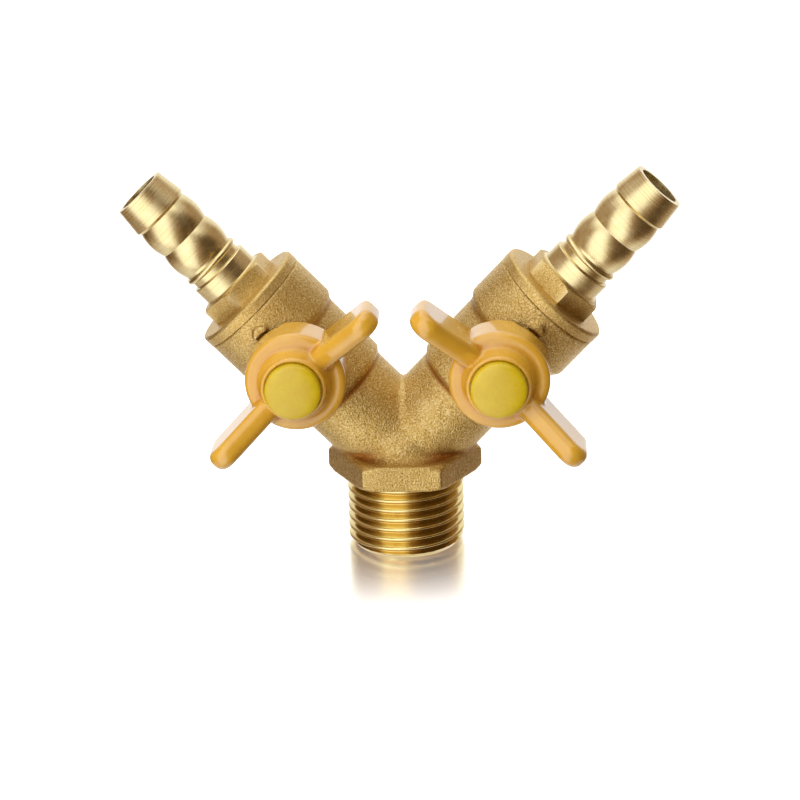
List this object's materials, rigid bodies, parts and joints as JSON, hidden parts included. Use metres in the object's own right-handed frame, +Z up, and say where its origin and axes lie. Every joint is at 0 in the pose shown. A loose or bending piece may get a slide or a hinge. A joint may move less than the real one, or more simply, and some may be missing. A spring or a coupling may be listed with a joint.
{
  "type": "hose splitter valve",
  "caption": "Forged brass Y splitter with a threaded inlet, and on each branch a ball valve, a butterfly handle and a barbed hose tail.",
  "frame": {"origin": "centre of the inlet thread's lower end face", "axes": "+Z up the inlet axis, +X to the right along the span of the two branches, -Y out of the handles"},
  "size_m": [0.0978, 0.0364, 0.0688],
  "materials": {
    "forged_brass": "sand-blasted forging with machined inlet thread",
    "turned_brass": "satin turned",
    "ball_chrome": "polished chrome plate on brass",
    "seat_ptfe": "white PTFE",
    "stem_brass": "turned",
    "ring_rubber": "black nitrile",
    "handle_paint": "gloss orange-yellow paint over a die casting",
    "steel_hardware": "zinc-plated steel",
    "cap_plastic": "semi-gloss yellow plastic"
  },
  "bodies": {
    "splitter_body": {"valve_body": "forged_brass", "left_inner_seat": "seat_ptfe", "left_outer_seat": "seat_ptfe", "left_hose_tail": "turned_brass", "left_thrust_washer": "seat_ptfe", "right_inner_seat": "seat_ptfe", "right_outer_seat": "seat_ptfe", "right_hose_tail": "turned_brass", "right_thrust_washer": "seat_ptfe"},
    "left_handle_group": {"left_stem": "stem_brass", "left_inner_o_ring": "ring_rubber", "left_outer_o_ring": "ring_rubber", "left_handle": "handle_paint", "left_spring_washer": "steel_hardware", "left_handle_screw": "steel_hardware", "left_handle_cap": "cap_plastic"},
    "left_ball_group": {"left_ball": "ball_chrome"},
    "right_handle_group": {"right_stem": "stem_brass", "right_inner_o_ring": "ring_rubber", "right_outer_o_ring": "ring_rubber", "right_handle": "handle_paint", "right_spring_washer": "steel_hardware", "right_handle_screw": "steel_hardware", "right_handle_cap": "cap_plastic"},
    "right_ball_group": {"right_ball": "ball_chrome"}
  },
  "joints": [
    {"name": "left_handle_turn", "type": "hinge", "parent": "splitter_body", "child": "left_handle_group", "pos_m": [-0.01755, 0, 0.0361], "axis": [0, -1, 0], "range_deg": [0, 90]},
    {"name": "left_ball_turn", "type": "hinge", "parent": "splitter_body", "child": "left_ball_group", "pos_m": [-0.01755, 0, 0.0361], "axis": [0, -1, 0], "range_deg": [0, 90]},
    {"name": "right_handle_turn", "type": "hinge", "parent": "splitter_body", "child": "right_handle_group", "pos_m": [0.01755, 0, 0.0361], "axis": [0, 1, 0], "range_deg": [0, 90]},
    {"name": "right_ball_turn", "type": "hinge", "parent": "splitter_body", "child": "right_ball_group", "pos_m": [0.01755, 0, 0.0361], "axis": [0, 1, 0], "range_deg": [0, 90]}
  ],
  "couplings": [
    {"joint": "left_ball_turn", "follows": "left_handle_turn", "ratio": 1},
    {"joint": "right_ball_turn", "follows": "right_handle_turn", "ratio": 1}
  ]
}
